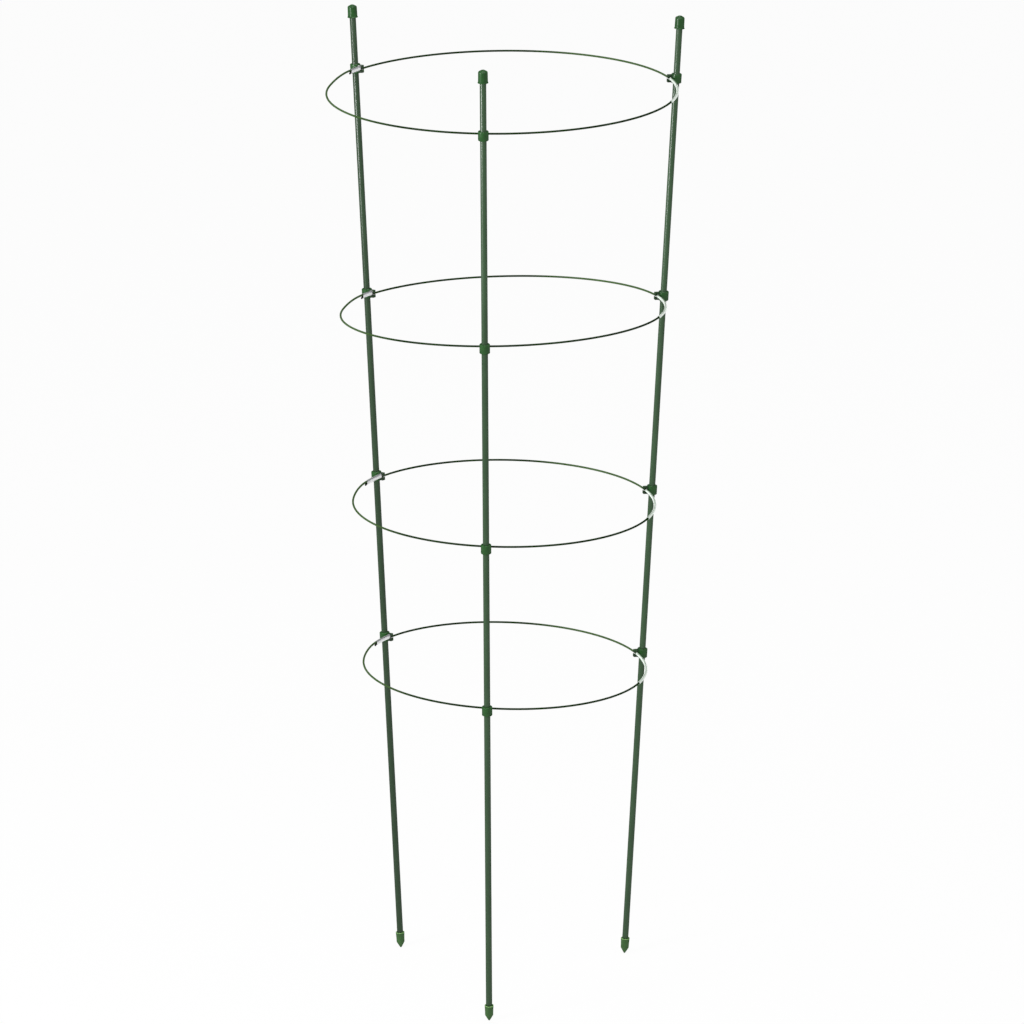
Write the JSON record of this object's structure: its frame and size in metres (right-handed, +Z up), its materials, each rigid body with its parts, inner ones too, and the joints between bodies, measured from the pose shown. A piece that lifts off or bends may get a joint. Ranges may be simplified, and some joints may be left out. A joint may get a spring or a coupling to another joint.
{
  "type": "ring plant support",
  "caption": "Tall garden plant support: leaning coated stakes with domed caps and pointed feet carry wire rings, wider to the top, in clips that slide on the stakes.",
  "frame": {"origin": "on the ground, at the middle of the support's bounding box, 8.5 mm from the axis that the stakes stand round", "axes": "+Z up; the front stake stands at -Y, and the right and left stakes at +X +Y and -X +Y"},
  "size_m": [0.4216, 0.4368, 1.1985],
  "materials": {
    "steel_tube": "bare drawn steel tube, hidden in the coat",
    "stake_coat": "muted green polyethylene coat, satin, with fine lines drawn along it",
    "moulded_plastic": "deep green moulded plastic, half gloss",
    "ring_wire": "steel wire with a thin glossy dark green plastic coat",
    "clear_sleeve": "clear soft plastic tube, milky at its walls"
  },
  "bodies": {
    "stakes": {"stake_core_front": "steel_tube", "stake_coat_front": "stake_coat", "stake_cap_front": "moulded_plastic", "stake_tip_front": "moulded_plastic", "stake_core_right": "steel_tube", "stake_coat_right": "stake_coat", "stake_cap_right": "moulded_plastic", "stake_tip_right": "moulded_plastic", "stake_core_left": "steel_tube", "stake_coat_left": "stake_coat", "stake_cap_left": "moulded_plastic", "stake_tip_left": "moulded_plastic"},
    "ring_body_1": {"ring_1": "ring_wire", "end_sleeve_1": "clear_sleeve", "ring_sleeve_1": "clear_sleeve"},
    "ring_body_2": {"ring_2": "ring_wire", "end_sleeve_2": "clear_sleeve", "ring_sleeve_2": "clear_sleeve"},
    "ring_body_3": {"ring_3": "ring_wire", "end_sleeve_3": "clear_sleeve", "ring_sleeve_3": "clear_sleeve"},
    "ring_body_4": {"ring_4": "ring_wire", "end_sleeve_4": "clear_sleeve", "ring_sleeve_4": "clear_sleeve"},
    "clip_body_front_1": {"clip_front_1": "moulded_plastic"},
    "clip_body_right_1": {"clip_right_1": "moulded_plastic"},
    "clip_body_left_1": {"clip_left_1": "moulded_plastic"},
    "clip_body_front_2": {"clip_front_2": "moulded_plastic"},
    "clip_body_right_2": {"clip_right_2": "moulded_plastic"},
    "clip_body_left_2": {"clip_left_2": "moulded_plastic"},
    "clip_body_front_3": {"clip_front_3": "moulded_plastic"},
    "clip_body_right_3": {"clip_right_3": "moulded_plastic"},
    "clip_body_left_3": {"clip_left_3": "moulded_plastic"},
    "clip_body_front_4": {"clip_front_4": "moulded_plastic"},
    "clip_body_right_4": {"clip_right_4": "moulded_plastic"},
    "clip_body_left_4": {"clip_left_4": "moulded_plastic"}
  },
  "joints": [
    {"name": "ring_1_slide", "type": "slide", "parent": "stakes", "child": "ring_body_1", "axis": [0, 0, 1], "range_m": [-0.015, 0.015]},
    {"name": "ring_2_slide", "type": "slide", "parent": "stakes", "child": "ring_body_2", "axis": [0, 0, 1], "range_m": [-0.015, 0.015]},
    {"name": "ring_3_slide", "type": "slide", "parent": "stakes", "child": "ring_body_3", "axis": [0, 0, 1], "range_m": [-0.015, 0.015]},
    {"name": "ring_4_slide", "type": "slide", "parent": "stakes", "child": "ring_body_4", "axis": [0, 0, 1], "range_m": [-0.015, 0.015]},
    {"name": "clip_front_1_slide", "type": "slide", "parent": "stakes", "child": "clip_body_front_1", "axis": [0.0052, -0.0503, 0.9987], "range_m": [-0.0151, 0.0151]},
    {"name": "clip_right_1_slide", "type": "slide", "parent": "stakes", "child": "clip_body_right_1", "axis": [0.0557, -0.0005, 0.9984], "range_m": [-0.0151, 0.0151]},
    {"name": "clip_left_1_slide", "type": "slide", "parent": "stakes", "child": "clip_body_left_1", "axis": [-0.0422, 0.0273, 0.9987], "range_m": [-0.0151, 0.0151]},
    {"name": "clip_front_2_slide", "type": "slide", "parent": "stakes", "child": "clip_body_front_2", "axis": [0.0052, -0.0503, 0.9987], "range_m": [-0.0151, 0.0151]},
    {"name": "clip_right_2_slide", "type": "slide", "parent": "stakes", "child": "clip_body_right_2", "axis": [0.0557, -0.0005, 0.9984], "range_m": [-0.0151, 0.0151]},
    {"name": "clip_left_2_slide", "type": "slide", "parent": "stakes", "child": "clip_body_left_2", "axis": [-0.0422, 0.0273, 0.9987], "range_m": [-0.0151, 0.0151]},
    {"name": "clip_front_3_slide", "type": "slide", "parent": "stakes", "child": "clip_body_front_3", "axis": [0.0052, -0.0503, 0.9987], "range_m": [-0.0151, 0.0151]},
    {"name": "clip_right_3_slide", "type": "slide", "parent": "stakes", "child": "clip_body_right_3", "axis": [0.0557, -0.0005, 0.9984], "range_m": [-0.0151, 0.0151]},
    {"name": "clip_left_3_slide", "type": "slide", "parent": "stakes", "child": "clip_body_left_3", "axis": [-0.0422, 0.0273, 0.9987], "range_m": [-0.0151, 0.0151]},
    {"name": "clip_front_4_slide", "type": "slide", "parent": "stakes", "child": "clip_body_front_4", "axis": [0.0052, -0.0503, 0.9987], "range_m": [-0.0151, 0.0151]},
    {"name": "clip_right_4_slide", "type": "slide", "parent": "stakes", "child": "clip_body_right_4", "axis": [0.0557, -0.0005, 0.9984], "range_m": [-0.0151, 0.0151]},
    {"name": "clip_left_4_slide", "type": "slide", "parent": "stakes", "child": "clip_body_left_4", "axis": [-0.0422, 0.0273, 0.9987], "range_m": [-0.0151, 0.0151]}
  ],
  "couplings": [
    {"joint": "clip_front_1_slide", "follows": "ring_1_slide", "ratio": 1.0013},
    {"joint": "clip_right_1_slide", "follows": "ring_1_slide", "ratio": 1.0016},
    {"joint": "clip_left_1_slide", "follows": "ring_1_slide", "ratio": 1.0013},
    {"joint": "clip_front_2_slide", "follows": "ring_2_slide", "ratio": 1.0013},
    {"joint": "clip_right_2_slide", "follows": "ring_2_slide", "ratio": 1.0016},
    {"joint": "clip_left_2_slide", "follows": "ring_2_slide", "ratio": 1.0013},
    {"joint": "clip_front_3_slide", "follows": "ring_3_slide", "ratio": 1.0013},
    {"joint": "clip_right_3_slide", "follows": "ring_3_slide", "ratio": 1.0016},
    {"joint": "clip_left_3_slide", "follows": "ring_3_slide", "ratio": 1.0013},
    {"joint": "clip_front_4_slide", "follows": "ring_4_slide", "ratio": 1.0013},
    {"joint": "clip_right_4_slide", "follows": "ring_4_slide", "ratio": 1.0016},
    {"joint": "clip_left_4_slide", "follows": "ring_4_slide", "ratio": 1.0013}
  ]
}
